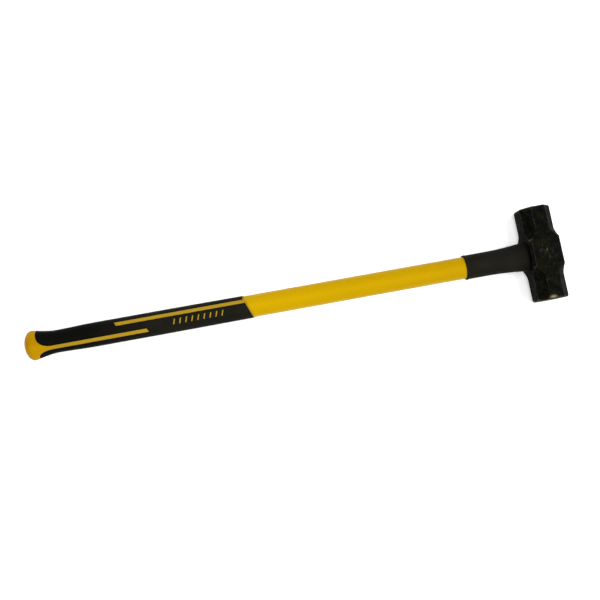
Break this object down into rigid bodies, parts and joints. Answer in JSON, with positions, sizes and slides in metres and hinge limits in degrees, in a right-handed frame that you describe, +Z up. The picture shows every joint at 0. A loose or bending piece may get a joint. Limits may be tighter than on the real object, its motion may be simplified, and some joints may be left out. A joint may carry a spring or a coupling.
{
  "type": "sledgehammer",
  "caption": "Long-handled sledgehammer: forged steel head with octagonal ends, bonded to an oval glass-fibre handle with plastic jacket, rubber collar and flared rubber grip.",
  "frame": {"origin": "on the surface that the hammer lies on, below the middle of its bounding box; the handle's axis is 27 mm above it", "axes": "+X along the handle's axis to the top of the head, +Y along the head from one striking face to the other, +Z up, square to the cheeks of the head"},
  "size_m": [0.915, 0.164, 0.054],
  "materials": {
    "forged_steel": "satin",
    "glass_fibre": "matte",
    "resin": "satin",
    "jacket_yellow": "satin",
    "collar_rubber": "matte",
    "grip_yellow": "satin",
    "grip_rubber": "matte"
  },
  "bodies": {
    "root": {"hammer_head": "forged_steel", "core_rod": "glass_fibre", "eye_resin": "resin", "shaft_jacket": "jacket_yellow", "overstrike_collar": "collar_rubber", "grip_sleeve": "grip_yellow", "grip_rubber": "grip_rubber"}
  },
  "joints": []
}
